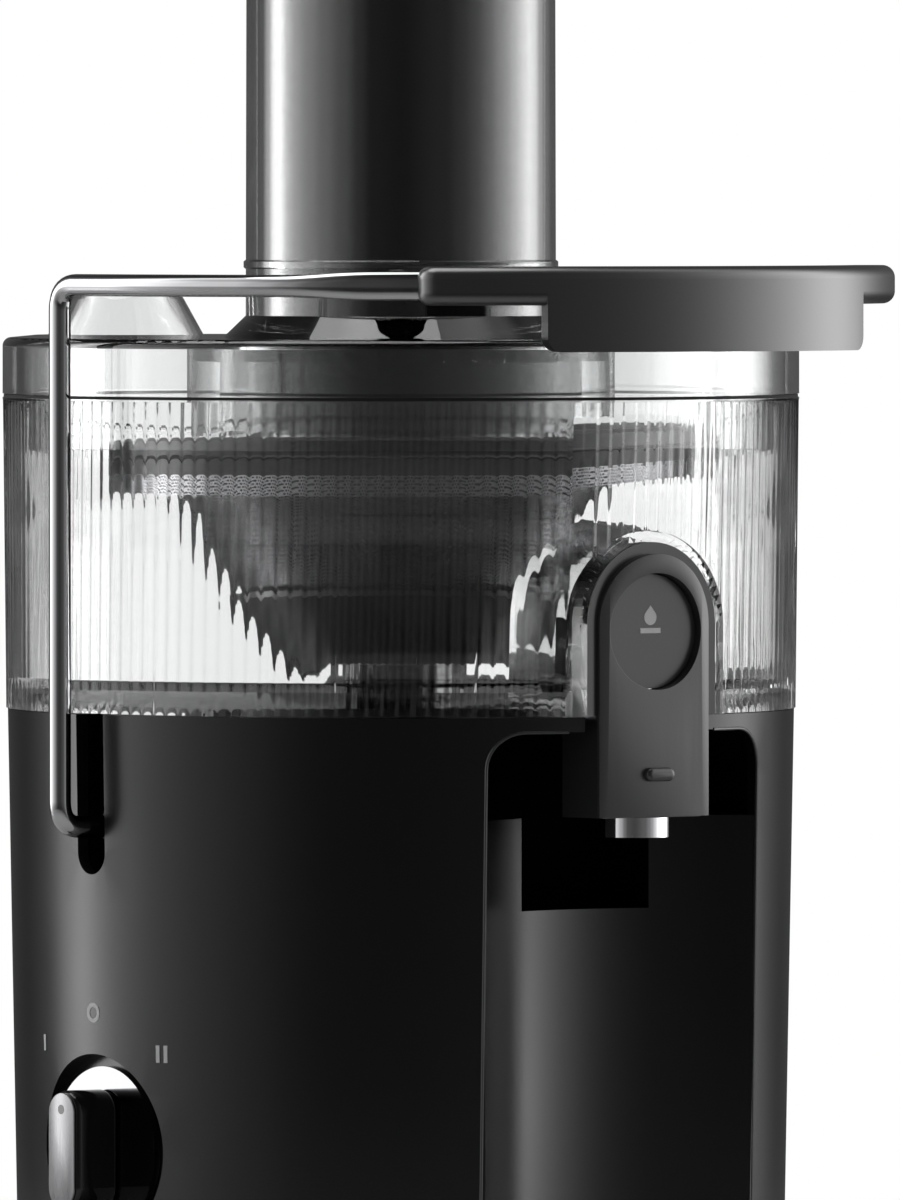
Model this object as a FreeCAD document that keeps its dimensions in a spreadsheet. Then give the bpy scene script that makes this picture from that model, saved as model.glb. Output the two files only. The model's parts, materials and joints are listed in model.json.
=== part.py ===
"""Centrifugal juicer: motor base, clear juice collector, filter basket, lid with a wide feed chute,
pusher, pulp container at the rear, drip-stop spout, speed knob and a locking bail with a handle.

Frame: millimetres, +Z up, z = 0 on the worktop, the basket's axis is the Z axis, the spout faces -Y.
"""
import FreeCAD, Part
import math
import os
import re

import Sketcher

Vector = FreeCAD.Vector

SIZES = {
    # heights of the levels
    "foot_height": 5,
    "base_top": 12,
    "deck_low": 181,
    "deck_top": 185,
    "plateau_top": 190,
    "collar_top": 200,
    "bowl_floor": 192,
    "bowl_top": 270.6,
    "lid_low": 271.6,
    "lid_top": 287,
    "chute_low": 232,
    "chute_top": 417,
    "overall_height": 425,
    # outlines in plan
    "housing_foot_radius": 105,
    "housing_head_radius": 108.1,
    "bowl_foot_radius": 108.6,
    "bowl_head_radius": 109.5,
    "rear_radius": 36,
    "rear_reach": 146,
    "rear_split": 71,
    "shell_wall": 3,
    "bowl_wall": 2.5,
    "container_wall": 2,
    "seam_gap": 0.4,
    "inlet_height": 28,
    "inlet_radius": 6,
    "inlet_face": 105.6,
    "niche_half": 66.5,
    "niche_front": 53,
    "deck_radius": 105,
    "plateau_radius": 62,
    "skirt_radius": 104.9,
    # jug recess
    "recess_radius": 68,
    "recess_centre": 145,
    "recess_half": 47.3,
    "recess_corner": 10,
    "recess_back": 62,
    "recess_step": 157,
    "notch_half": 22,
    "notch_low": 132,
    # bail, its slots and its pivots
    "pivot_height": 154.5,
    "slot_half": 6,
    "slot_low": 141.5,
    "slot_floor": 98,
    "leg_reach": 118,
    "rod_radius": 3,
    "rod_height": 302.5,
    "rod_bend": 7,
    "bush_radius": 5.5,
    "bush_inner": 90,
    "handle_centre": 24,
    "handle_outer": 122,
    "handle_inner": 107.5,
    "skirt_inner": 113.5,
    "handle_low": 296.5,
    "handle_top": 307,
    "handle_angle": 87,
    "grip_low": 284,
    "grip_angle": 53.5,
    # speed knob
    "knob_height": 66.7,
    "knob_pocket_radius": 26,
    "knob_floor": 100.6,
    "dial_radius": 22.5,
    "dial_face": 103,
    "grip_face": 117,
    "insert_face": 117.7,
    "grip_end_radius": 6.3,
    "grip_span": 10,
    # spout and drip stop
    "arch_height": 210,
    "cover_half": 19,
    "cover_low": 157.8,
    "cover_front": 112.2,
    "cover_back": 109.4,
    "boss_half": 25,
    "spout_half": 17,
    "spout_back": 92,
    "duct_back": 78,
    "plate_back": 102.4,
    "spout_low": 157.6,
    "nozzle_low": 152.2,
    "nozzle_radius": 9.65,
    "nozzle_centre": 102,
    "outlet_radius": 7,
    "button_height": 208,
    "button_radius": 15.5,
    "button_face": 108.8,
    "button_back": 106.4,
    "button_well": 103.9,
    "button_gap": 0.3,
    "stem_radius": 3,
    "spring_wire": 0.6,
    "spring_radius": 4.6,
    # basket
    "hub_low": 200.5,
    "disc_level": 222,
    "cone_foot": 44,
    "cone_head": 66,
    "cone_top": 251,
    "lip_low": 245,
    "ridge_height": 256.2,
    "rim_top": 262,
    "rim_radius": 82,
    "sheet_wall": 1,
    # drive
    "shaft_radius": 5,
    "running_gap": 0.05,
    "coupling_radius": 8,
    "coupling_low": 201.5,
    "coupling_top": 214,
    # motor
    "stack_low": 70,
    "stack_top": 120,
    "stack_half": 41,
    "rotor_radius": 24,
    "air_gap": 0.6,
    "bracket_radius": 48,
    "upper_bracket": 146,
    "lower_bracket": 36,
    "bearing_radius": 11,
    "bearing_height": 8,
    "fan_low": 127,
    "fan_root": 14,
    "fan_tip": 36,
    "fan_blade": 1.6,
    "tie_reach": 32,
    "tie_radius": 2,
    "coil_near": 27.3,
    "coil_far": 37.7,
    "coil_half": 24.5,
    # lid, chute and pusher
    "hump_radius": 22,
    "hump_centre": 124,
    "hump_height": 14,
    "hump_slope": 8,
    "lid_wall": 2.6,
    "lid_skirt_low": 257.3,
    "chute_radius": 42.8,
    "chute_bore": 39.9,
    "pusher_radius": 39.4,
    "pusher_wall": 2.2,
    "pusher_low": 236,
    "cap_radius": 46,
}

# points in plan that fittings stand on, as (X, Y)
DAMPER_PLACES = [(sx * 30, sy * 22) for sx in (-1, 1) for sy in (-1, 1)]
SCREW_PLACES = [(sx * 82, y) for sx in (-1, 1) for y in (-36, 36)]
FOOT_PLACES = [(-72, -62), (72, -62), (-38, 92), (38, 92)]
TIE_PLACES = [(f"{sx} * tie_reach", f"{sy} * tie_reach") for sx in (-1, 1) for sy in (-1, 1)]

doc = FreeCAD.newDocument("centrifugal_juicer")
sheet = doc.addObject("Spreadsheet::Sheet", "Sizes")
for row, (alias, number) in enumerate(SIZES.items(), start=1):
    sheet.set(f"A{row}", alias)
    sheet.set(f"B{row}", str(number))
    sheet.setAlias(f"B{row}", alias)
doc.recompute()

subparts = {}


def formula(text):
    """Write a formula on size names as an expression on the sheet's cells."""
    return re.sub(r"[a-z_]+", lambda m: f"Sizes.{m.group()}" if m.group() in SIZES else m.group(), str(text))


def size(text):
    """The present value of a formula on size names."""
    return float(sheet.evalExpression(formula(text)))


def bind(item, **formulas):
    for name, text in formulas.items():
        item.setExpression(name, formula(text))
    return item


TURNS = {
    "X": FreeCAD.Rotation(Vector(0, 1, 0), 90),
    "Y": FreeCAD.Rotation(Vector(1, 0, 0), -90),
    "Z": FreeCAD.Rotation(),
}


def place(item, at, axis="Z"):
    """Turn an item's own Z axis to a frame axis and bind its position."""
    item.Placement = FreeCAD.Placement(Vector(), TURNS[axis])
    for letter, text in zip("xyz", at):
        item.setExpression(f".Placement.Base.{letter}", formula(text))
    return item


def keep(item, label):
    """Name an item as a finished sub-part."""
    item.Label = label
    subparts[label] = item
    return item


# ---- primitives, each standing on the low end of its span ----

def cylinder(radius, span, centre=(0, 0), axis="Z"):
    """A cylinder along an axis; centre gives the two other coordinates in X, Y, Z order."""
    item = doc.addObject("Part::Cylinder", "Cylinder")
    bind(item, Radius=radius, Height=f"({span[1]}) - ({span[0]})")
    at = list(centre)
    at.insert("XYZ".index(axis), span[0])
    return place(item, at, axis)


def cone(foot_radius, head_radius, span, centre=(0, 0)):
    item = doc.addObject("Part::Cone", "Cone")
    bind(item, Radius1=foot_radius, Radius2=head_radius, Height=f"({span[1]}) - ({span[0]})")
    return place(item, [*centre, span[0]])


def box(x, y, z):
    item = doc.addObject("Part::Box", "Box")
    for name, span in zip(("Length", "Width", "Height"), (x, y, z)):
        item.setExpression(name, formula(f"({span[1]}) - ({span[0]})"))
    return place(item, [x[0], y[0], z[0]])


def side_span(side, near, far):
    """The X span from near to far on one side, with the low end first."""
    low, high = (far, near) if side == "-1" else (near, far)
    return (f"{side} * ({low})", f"{side} * ({high})")


# ---- booleans ----

def fuse(*items):
    if len(items) == 1:
        return items[0]
    item = doc.addObject("Part::MultiFuse", "Fuse")
    item.Shapes = list(items)
    item.Refine = True
    return item


def cut(base, *tools):
    item = doc.addObject("Part::Cut", "Cut")
    item.Base = base
    item.Tool = fuse(*tools)
    item.Refine = True
    return item


def common(first, second):
    item = doc.addObject("Part::Common", "Common")
    item.Base = first
    item.Tool = second
    item.Refine = True
    return item


def ring(outer, inner, span, centre=(0, 0), axis="Z"):
    low, high = span
    over = (f"({low}) - 1", f"({high}) + 1")
    return cut(cylinder(outer, span, centre, axis), cylinder(inner, over, centre, axis))


def group(*items):
    """Separate solids that make one sub-part, such as a set of screws."""
    item = doc.addObject("Part::Compound", "Group")
    item.Links = list(items)
    return item


def rounded(base, radius, pick):
    """Fillet the edges that pick accepts."""
    doc.recompute()
    item = doc.addObject("Part::Fillet", "Fillet")
    item.Base = base
    item.Edges = [(n, radius, radius) for n, edge in enumerate(base.Shape.Edges, start=1) if pick(edge)]
    return item


# ---- turned and extruded bodies ----

def origin_plane(body, role):
    return next(item for item in body.Origin.OriginFeatures if item.Role == role)


def outline(body, plane, points):
    """A closed sketch whose corners are bound to the sheet; each point is a pair of formulas."""
    sketch = body.newObject("Sketcher::SketchObject", "Outline")
    sketch.AttachmentSupport = [(origin_plane(body, plane), "")]
    sketch.MapMode = "FlatFace"
    places = [Vector(size(u), size(v), 0) for u, v in points]
    for start, end in zip(places, places[1:] + places[:1]):
        sketch.addGeometry(Part.LineSegment(start, end), False)
    for line in range(len(places)):
        sketch.addConstraint(Sketcher.Constraint("Coincident", line, 2, (line + 1) % len(places), 1))
    for line, point in enumerate(points):
        for kind, text, rail in (("DistanceX", point[0], -2), ("DistanceY", point[1], -1)):
            if abs(size(text)) < 1e-9:
                sketch.addConstraint(Sketcher.Constraint("PointOnObject", line, 1, rail))
                continue
            index = sketch.addConstraint(Sketcher.Constraint(kind, -1, 1, line, 1, size(text)))
            sketch.setExpression(f"Constraints[{index}]", formula(text))
    return sketch


def turned(label, points, at=(0, 0, 0), axis="Z"):
    """A body of revolution; each point is a radius and a height above the body's own origin."""
    body = doc.addObject("PartDesign::Body", label)
    sketch = outline(body, "XZ_Plane", points)
    spin = body.newObject("PartDesign::Revolution", "Turn")
    spin.Profile = sketch
    spin.ReferenceAxis = (sketch, ["V_Axis"])
    spin.Angle = 360
    return keep(place(body, at, axis), label)


# ---- outlines with the rear extension ----

def tear_wire(front_radius, rear_radius, rear_centre, level):
    """A circle joined by its tangents to a smaller circle behind it."""
    lean = math.asin((front_radius - rear_radius) / rear_centre)
    normal = Vector(math.cos(lean), math.sin(lean), 0)
    mirror = Vector(-normal.x, normal.y, 0)
    base = Vector(0, 0, level)
    rear = Vector(0, rear_centre, level)
    front_right = base + normal * front_radius
    front_left = base + mirror * front_radius
    rear_right = rear + normal * rear_radius
    rear_left = rear + mirror * rear_radius
    edges = [
        Part.Arc(front_left, base + Vector(0, -front_radius, 0), front_right).toShape(),
        Part.LineSegment(front_right, rear_right).toShape(),
        Part.Arc(rear_right, rear + Vector(0, rear_radius, 0), rear_left).toShape(),
        Part.LineSegment(rear_left, front_left).toShape(),
    ]
    return Part.Wire(edges)


def tear_block(low, high, low_radius, high_radius, inset=0):
    """The tear-shaped block between two levels, drawn in by an inset all round."""
    rear = size("rear_radius")
    centre = size("rear_reach") - rear
    wires = [
        tear_wire(size(low_radius) - inset, rear - inset, centre, size(low)),
        tear_wire(size(high_radius) - inset, rear - inset, centre, size(high)),
    ]
    item = doc.addObject("Part::Feature", "Tear")
    item.Shape = Part.makeLoft(wires, True, True)
    item.Placement = FreeCAD.Placement()
    return item


# ---- motor base ----

def jug_recess_block(grow=0):
    """The space in front that the jug slides into; grow widens it by a wall thickness."""
    room = cylinder(f"recess_radius + {grow}", (0, "recess_step + 1"), (0, "-recess_centre"))
    pocket = box(
        (f"-recess_half - {grow}", f"recess_half + {grow}"),
        ("-housing_head_radius - 4", f"-recess_back + {grow}"),
        (f"recess_step - {grow}", "deck_low"),
    )
    if not grow:
        top = size("deck_low") - 0.01
        pocket = rounded(
            pocket, size("recess_corner"), lambda e: e.BoundBox.ZMin > top and e.BoundBox.XLength < 1
        )
    notch = box(
        (f"-notch_half - {grow}", f"notch_half + {grow}"),
        ("-recess_centre + recess_radius - 10", f"-recess_back + {grow}"),
        (f"notch_low - {grow}", f"recess_step + {grow}"),
    )
    return [room, pocket, notch]


def pivot_slot_blocks(grow=0):
    """The vertical channels at the sides that the bail's lower ends move in."""
    blocks = []
    for side in ("-1", "1"):
        reach = side_span(side, f"slot_floor - {grow}", "housing_head_radius + 2")
        across = (f"-slot_half - {grow}", f"slot_half + {grow}")
        blocks.append(box(reach, across, ("slot_low + slot_half", "plateau_top")))
        blocks.append(cylinder(f"slot_half + {grow}", reach, (0, "slot_low + slot_half"), "X"))
    return blocks


def screw_posts():
    """Hollow posts for the screws, each with a rib to the wall."""
    posts = []
    for x, y in SCREW_PLACES:
        posts.append(cut(cylinder(6, ("base_top + 0.2", 44), (x, y)), cylinder(2.1, (0, 30), (x, y))))
        side = "-1" if x < 0 else "1"
        posts.append(box(side_span(side, 86, 97), (y - 1.5, y + 1.5), ("base_top + 0.2", 44)))
    return posts


def spout_gap_block():
    """The gap in the top at the front that the spout hangs through."""
    across = ("-cover_half - 1.5", "cover_half + 1.5")
    return box(across, (-120, "-spout_back + 1.5"), ("deck_low - 1", "plateau_top + 1"))


def make_motor_housing():
    """The outer shell: one wall that folds in round the jug recess, the pivot slots and the dial pocket."""
    outer = cone("housing_foot_radius", "housing_head_radius", ("base_top", "deck_top"))
    behind = box((-120, 120), ("rear_split", 160), (0, 220))
    niche = box(
        ("-niche_half - shell_wall", "niche_half + shell_wall"), ("niche_front - shell_wall", 160), (0, 220)
    )
    dial_pocket = cylinder("knob_pocket_radius", (-120, "-knob_floor"), (0, "knob_height"), "X")
    sides = [*jug_recess_block(), *pivot_slot_blocks()]
    skin = cut(outer, behind, niche, spout_gap_block(), dial_pocket, *sides)
    inner = cone(
        "housing_foot_radius - shell_wall", "housing_head_radius - shell_wall",
        ("base_top - 1", "deck_top + 1"),
    )
    rear_wall = box((-120, 120), ("rear_split - shell_wall", 160), (0, "deck_low"))
    dial_wall = cylinder(
        "knob_pocket_radius + shell_wall", (-120, "-knob_floor + shell_wall"), (0, "knob_height"), "X"
    )
    slot_walls = common(fuse(*pivot_slot_blocks("shell_wall")), box((-120, 120), (-20, 20), (0, "deck_low")))
    hollow = cut(inner, rear_wall, dial_wall, slot_walls, *jug_recess_block("shell_wall"))
    spindle_hole = cylinder(3.4, (-110, -90), (0, "knob_height"), "X")
    bush_holes = cylinder("bush_radius + 0.02", (-112, 112), (0, "pivot_height"), "X")
    inlet_hole = cylinder("inlet_radius + 0.05", (80, 120), (0, "inlet_height"), "X")
    shell = cut(cut(skin, hollow), spindle_hole, bush_holes, inlet_hole)
    keep(fuse(shell, *screw_posts()), "motor_housing")


def make_top_deck():
    """The plate under the collector, with a raised ring, the shaft's collar and the motor's four posts."""
    plate = cylinder("deck_radius", ("deck_low", "deck_top"))
    raised = ring("plateau_radius", "plateau_radius - 6", ("deck_top - 1", "plateau_top"))
    collar = cylinder(14, ("deck_top - 1", "collar_top"))
    posts = [cylinder(6, ("upper_bracket + 14", "deck_low + 1"), spot) for spot in DAMPER_PLACES]
    behind = box((-120, 120), ("rear_split", 160), (0, 220))
    shaft_hole = cylinder(9, ("deck_low - 1", "collar_top + 1"))
    deck = fuse(plate, raised, collar, *posts)
    keep(cut(deck, behind, shaft_hole, spout_gap_block(), *pivot_slot_blocks()), "top_deck")


def make_rear_panel():
    """The three-sided wall between the motor and the pulp container."""
    across = ("-niche_half - shell_wall", "niche_half + shell_wall")
    block = box(across, ("niche_front - shell_wall", "rear_split"), ("base_top", "deck_low"))
    room = box(("-niche_half", "niche_half"), ("niche_front", 160), (0, 220))
    keep(cut(block, room), "rear_panel")


def make_base_plate():
    plate = tear_block("foot_height", "base_top", "housing_foot_radius", "housing_foot_radius", 0.5)
    room = tear_block("foot_height + 3", "base_top + 1", "housing_foot_radius", "housing_foot_radius", 3.5)
    tray = cut(room, box((-120, 120), ("niche_front - 3", 160), (0, 40)), *jug_recess_block("shell_wall"))
    holes = [cylinder(2.1, (0, 30), place_xy) for place_xy in SCREW_PLACES]
    vents = [box((x, f"{x} + 4"), (-30, 30), (0, 20)) for x in range(-34, 34, 8)]
    rails = [box((59, 66.6), (y, y + 5), ("foot_height + 2", 24)) for y in (-33, 28)]
    board_slot = box((61.9, 63.7), (-30.1, 30.1), ("foot_height + 3", 90))
    openings = [board_slot, *holes, *vents, *jug_recess_block(0.5)]
    keep(cut(fuse(cut(plate, tray), *rails), *openings), "base_plate")
    feet = enumerate(FOOT_PLACES, start=1)
    for number, (x, y) in feet:
        keep(cone(8, 9, (0, "foot_height"), (x, y)), f"rubber_foot_{number}")
    screws = []
    for x, y in SCREW_PLACES:
        head = cylinder(3.8, ("foot_height - 2.2", "foot_height"), (x, y))
        screws.append(fuse(head, cylinder(2, ("foot_height - 0.1", 28), (x, y))))
    keep(group(*screws), "housing_screws")


def make_cord_inlet():
    """A bush with a flange in the right-hand wall, where the lead would come in."""
    centre = (0, "inlet_height")
    flange = cylinder("inlet_radius + 2.5", ("inlet_face", "inlet_face + 2.5"), centre, "X")
    neck = cylinder("inlet_radius", ("inlet_face - 8", "inlet_face + 0.1"), centre, "X")
    keep(cut(fuse(flange, neck), cylinder(3.6, (80, 120), centre, "X")), "cord_inlet")


# ---- motor ----

def make_motor():
    keep(cylinder("shaft_radius", (28, "coupling_top - 4")), "motor_shaft")
    keep(ring("rotor_radius", "shaft_radius", ("stack_low", "stack_top")), "rotor_core")
    keep(ring(13, "shaft_radius", (47, 61)), "commutator")
    make_fan()
    make_stator()
    for label, low in (("lower", "lower_bracket - bearing_height"), ("upper", "upper_bracket + 4")):
        span = (low, f"{low} + bearing_height")
        keep(ring("bearing_radius", "shaft_radius + running_gap", span), f"bearing_{label}")
    rods = [cylinder("tie_radius", ("lower_bracket - 3", "upper_bracket + 7"), spot) for spot in TIE_PLACES]
    lower_holes = [cylinder("tie_radius", (0, 200), spot) for spot in TIE_PLACES]
    upper_holes = [cylinder("tie_radius", (0, 200), spot) for spot in TIE_PLACES]
    lower_plate = cylinder("bracket_radius", ("lower_bracket", "lower_bracket + 4"))
    lower_cup = cylinder("bearing_radius + 3", ("lower_bracket - bearing_height - 2", "lower_bracket + 1"))
    lower_seat = cylinder("bearing_radius", ("lower_bracket - bearing_height", "lower_bracket + 5"))
    lower_hole = cylinder("shaft_radius + 1.5", (20, 60))
    keep(cut(fuse(lower_plate, lower_cup), lower_seat, lower_hole, *lower_holes), "motor_bracket_lower")
    upper_plate = cylinder("bracket_radius", ("upper_bracket", "upper_bracket + 4"))
    upper_cup = cylinder("bearing_radius + 3", ("upper_bracket + 3", "upper_bracket + 14"))
    upper_seat = cylinder("bearing_radius", ("upper_bracket - 1", "upper_bracket + 12"))
    upper_hole = cylinder("shaft_radius + 1.5", (140, 180))
    keep(cut(fuse(upper_plate, upper_cup), upper_seat, upper_hole, *upper_holes), "motor_bracket_upper")
    keep(group(*rods), "motor_tie_rods")
    for number, (x, y) in enumerate(DAMPER_PLACES, start=1):
        keep(cylinder(7, ("upper_bracket + 4", "upper_bracket + 14"), (x, y)), f"motor_damper_{number}")


def make_fan():
    """A plate on a hub with straight blades standing on it."""
    half = "fan_blade / 2"
    blades = []
    for number in range(12):
        turn = number * 30
        blade = box(("fan_root", "fan_tip"), (f"-{half}", half), ("fan_low + 2", "fan_low + 13"))
        blade.Placement = FreeCAD.Placement(Vector(), FreeCAD.Rotation(Vector(0, 0, 1), turn))
        bind(blade, **{
            ".Placement.Base.x": f"fan_root * cos({turn}) + {half} * sin({turn})",
            ".Placement.Base.y": f"fan_root * sin({turn}) - {half} * cos({turn})",
            ".Placement.Base.z": "fan_low + 2",
        })
        blades.append(blade)
    plate = cylinder("fan_tip + 1", ("fan_low", "fan_low + 2.2"))
    hub = cylinder(10, ("fan_low - 3", "fan_low + 11"))
    bore = cylinder("shaft_radius", ("fan_low - 7", "fan_low + 15"))
    keep(cut(fuse(plate, hub, *blades), bore), "cooling_fan")


def make_stator():
    stack = common(
        box(("-stack_half", "stack_half"), ("-stack_half", "stack_half"), ("stack_low", "stack_top")),
        cylinder("stack_half + 9", ("stack_low", "stack_top")),
    )
    across = ("-coil_half - 0.5", "coil_half + 0.5")
    spans = [side_span(side, "coil_near - 0.3", "coil_far + 0.3") for side in ("-1", "1")]
    slots = [box(span, across, (0, 200)) for span in spans]
    ties = [cylinder("tie_radius", (0, 200), spot) for spot in TIE_PLACES]
    bore = cylinder("rotor_radius + air_gap", (0, 200))
    keep(cut(stack, bore, *slots, *ties), "stator_stack")
    for label, side in (("left", "-1"), ("right", "1")):
        span = side_span(side, "coil_near", "coil_far")
        coil = box(span, ("-coil_half", "coil_half"), ("stack_low - 8", "stack_top + 5"))
        keep(coil, f"field_coil_{label}")
        holder = box(side_span(side, 13.4, 30), (-5, 5), (49, 59))
        keep(holder, f"brush_holder_{label}")


def make_controls():
    switch = box((-97.6, -76), (-14, 14), ("knob_height - 15", "knob_height + 15"))
    spindle_hole = cylinder("stem_radius + running_gap", (-100, -80), (0, "knob_height"), "X")
    keep(cut(switch, spindle_hole), "rotary_switch")
    keep(box((62, 63.6), (-30, 30), ("foot_height + 3.2", 78)), "control_board")
    keep(box((-94.9, -80.9), (-8, 8), (164, 178)), "interlock_switch")
    keep(ring(9, "shaft_radius + running_gap", (193, "collar_top - 0.5")), "shaft_seal")


# ---- drive and basket ----

def hexagon(radius, span):
    item = doc.addObject("Part::Prism", "Hexagon")
    item.Polygon = 6
    bind(item, Circumradius=radius, Height=f"({span[1]}) - ({span[0]})")
    return place(item, [0, 0, span[0]])


def make_drive_coupling():
    body = hexagon("coupling_radius", ("coupling_low", "coupling_top"))
    keep(cut(body, cylinder("shaft_radius", (190, "coupling_top - 4"))), "drive_coupling")


def make_basket():
    hub = doc.addObject("PartDesign::Body", "HubBlank")
    sketch = outline(hub, "XZ_Plane", [
        (0, "hub_low + 2.5"), (12.5, "hub_low + 2.5"), (12.5, "hub_low + 8.5"), (22, "hub_low + 8.5"),
        (24, "hub_low"), (30, "hub_low"), ("cone_foot + 3", "disc_level - 1.5"),
        ("cone_foot + 3", "disc_level"), (0, "disc_level"),
    ])
    spin = hub.newObject("PartDesign::Revolution", "Turn")
    spin.Profile = sketch
    spin.ReferenceAxis = (sketch, ["V_Axis"])
    socket = hexagon("coupling_radius + 0.35", ("hub_low", "coupling_top + 1"))
    keep(cut(hub, socket), "basket_hub")
    turned("grating_disc", [
        (0, "disc_level"), ("cone_foot - 0.2", "disc_level"), ("cone_foot - 0.2", "disc_level + sheet_wall"),
        (9, "disc_level + sheet_wall"), (3, "disc_level + 4"), (0, "disc_level + 4.6"),
    ])
    turned("filter_cone", [
        ("cone_foot", "disc_level + 0.1"), ("cone_foot + 1.2", "disc_level + 0.1"),
        ("cone_head + 1.2", "cone_top - sheet_wall"), ("rim_radius - 1.7", "cone_top - sheet_wall"),
        ("rim_radius - 1.7", "lip_low"), ("rim_radius - 0.7", "lip_low"),
        ("rim_radius - 0.7", "cone_top"), ("cone_head", "cone_top"),
    ])
    turned("basket_rim", [
        ("cone_head + 0.8", "cone_top"), ("rim_radius", "cone_top"), ("rim_radius", "ridge_height - 0.6"),
        ("rim_radius + 0.6", "ridge_height"), ("rim_radius", "ridge_height + 0.6"),
        ("rim_radius", "rim_top - 1"), ("rim_radius - 1", "rim_top"), ("rim_radius - 3", "rim_top"),
        ("rim_radius - 4", "cone_top + 3"), ("cone_head + 0.8", "cone_top + 1.5"),
    ])


# ---- juice collector, spout and drip stop ----

def arch(half, front, back, low, centre_height="arch_height"):
    """A plate across Y with a half-round top and square lower corners."""
    foot = box((f"-({half})", half), (f"-({front})", f"-({back})"), (low, centre_height))
    head = cylinder(half, (f"-({front})", f"-({back})"), (0, centre_height), "Y")
    return fuse(foot, head)


def make_collector():
    outer = tear_block("deck_top + 0.3", "bowl_top", "bowl_foot_radius", "bowl_head_radius")
    duct = arch("boss_half", "cover_back", "duct_back", "deck_top + 0.3")
    skirt_room = cylinder("skirt_radius", ("deck_top", "bowl_floor"))
    bowl_room = cone(
        "bowl_foot_radius - bowl_wall", "bowl_head_radius - bowl_wall",
        ("bowl_floor + bowl_wall", "bowl_top + 1"),
    )
    rear_room = cut(
        tear_block("deck_top - 1", "bowl_top + 2", "bowl_foot_radius", "bowl_head_radius", size("bowl_wall")),
        cylinder("bowl_foot_radius", ("deck_top - 2", 240)),
    )
    shaft_room = cylinder(15, ("deck_top", 240))
    pipe = ring(18.5, 15, ("bowl_floor", "hub_low + 6"))
    duct_room = arch("boss_half - bowl_wall", 120, "duct_back + bowl_wall", "bowl_floor + bowl_wall")
    plate_room = arch("boss_half - bowl_wall", 120, "plate_back - 0.3", "deck_top")
    across = ("-spout_half - 0.4", "spout_half + 0.4")
    spout_room = box(across, (-120, "-spout_back + 0.4"), ("deck_top", 196))
    window = box((-9, 9), (-90, -70), (196, 204))
    bowl = cut(outer, skirt_room, bowl_room, rear_room)
    floor_disc = cylinder("bowl_foot_radius - 1", ("deck_top", "bowl_floor"))
    blank = fuse(bowl, cut(duct, floor_disc), pipe)
    keep(cut(blank, shaft_room, duct_room, plate_room, spout_room, window), "juice_collector")
    turned("collector_seal", [
        ("bowl_head_radius - 3.2", "bowl_top"), ("bowl_head_radius - 0.3", "bowl_top"),
        ("bowl_head_radius - 0.3", "lid_low - 0.2"), ("bowl_head_radius - 3.2", "lid_low - 0.2"),
    ])


def make_spout():
    plate = arch("boss_half - bowl_wall - 0.3", "cover_back - 0.1", "plate_back", "deck_top + 0.3")
    guide = cylinder(8, ("-plate_back - 1", -96), (0, "button_height"), "Y")
    lower = box(("-spout_half", "spout_half"), ("-cover_back + 0.1", "-spout_back"), ("spout_low", 191.8))
    well = cylinder("button_radius + button_gap", (-120, "-button_well"), (0, "button_height"), "Y")
    spring_seat = cylinder("spring_radius + 1.4", (-105, -98), (0, "button_height"), "Y")
    stem_hole = cylinder("stem_radius + running_gap", (-110, -90), (0, "button_height"), "Y")
    across = ("-spout_half + bowl_wall", "spout_half - bowl_wall")
    cavity = box(across, ("-cover_back + 3", "-spout_back - bowl_wall"), ("spout_low + 2.5", 193))
    outlet = cylinder("outlet_radius", (140, 190), (0, "-nozzle_centre"))
    body = cut(fuse(plate, guide, lower), spring_seat, stem_hole, cavity, outlet)
    keep(cut(body, well), "spout_body")
    cover = arch("cover_half", "cover_front", "cover_back", "cover_low")
    opening = cylinder("button_radius + button_gap", (-120, -100), (0, "button_height"), "Y")
    bowed = common(cover, cylinder("cover_front", ("cover_low", "bowl_top")))
    keep(cut(bowed, opening), "spout_cover")
    nozzle = cylinder("nozzle_radius", ("nozzle_low", "spout_low"), (0, "-nozzle_centre"))
    keep(cut(nozzle, cylinder("outlet_radius", (140, 190), (0, "-nozzle_centre"))), "spout_nozzle")
    span = ("-button_face", "-button_back")
    keep(cylinder("button_radius", span, (0, "button_height"), "Y"), "drip_button")
    keep(cylinder("stem_radius", ("-button_back", -83.6), (0, "button_height"), "Y"), "drip_stem")
    keep(box((-11, 11), (-83.6, -82.8), (195, 213)), "drip_valve")
    make_drip_spring()


def make_drip_spring():
    """A short return spring round the stem, closed coils stacked along Y."""
    coils = []
    for number in range(4):
        coil = doc.addObject("Part::Torus", "Coil")
        bind(coil, Radius1="spring_radius", Radius2="spring_wire")
        coils.append(place(coil, [0, f"-98.6 - {number} * spring_wire * 1.9", "button_height"], "Y"))
    keep(fuse(*coils), "drip_spring")


# ---- lid and pusher ----

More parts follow.
